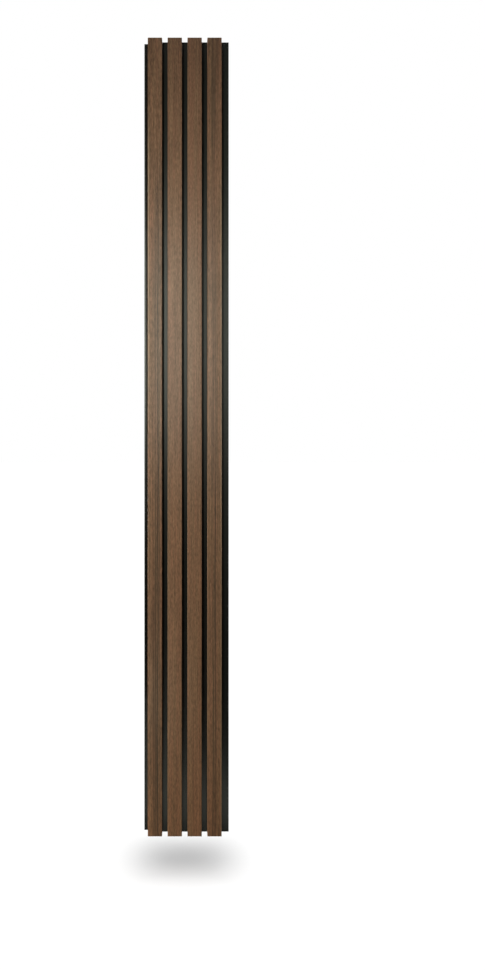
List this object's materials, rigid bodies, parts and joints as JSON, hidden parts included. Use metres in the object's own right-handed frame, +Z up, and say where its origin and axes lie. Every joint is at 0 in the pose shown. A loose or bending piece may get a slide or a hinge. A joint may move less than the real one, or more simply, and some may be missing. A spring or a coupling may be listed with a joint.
{
  "type": "composite slat wall panel",
  "caption": "Tall narrow wall cladding panel of hollow walnut-finish slats bonded to a black backing whose long edges interlock with the next panel.",
  "frame": {"origin": "middle of the back face, on the rib behind the middle groove, at mid length", "axes": "+X to the right as seen from the room, +Y from the room into the wall, +Z up along the slats"},
  "size_m": [0.2355, 0.026, 2.2],
  "materials": {
    "black_composite": "satin black extruded composite",
    "walnut_composite": "satin walnut-grain finish on extruded composite"
  },
  "bodies": {
    "root": {"backing_panel": "black_composite", "slat_1": "walnut_composite", "slat_2": "walnut_composite", "slat_3": "walnut_composite", "slat_4": "walnut_composite"}
  },
  "joints": []
}
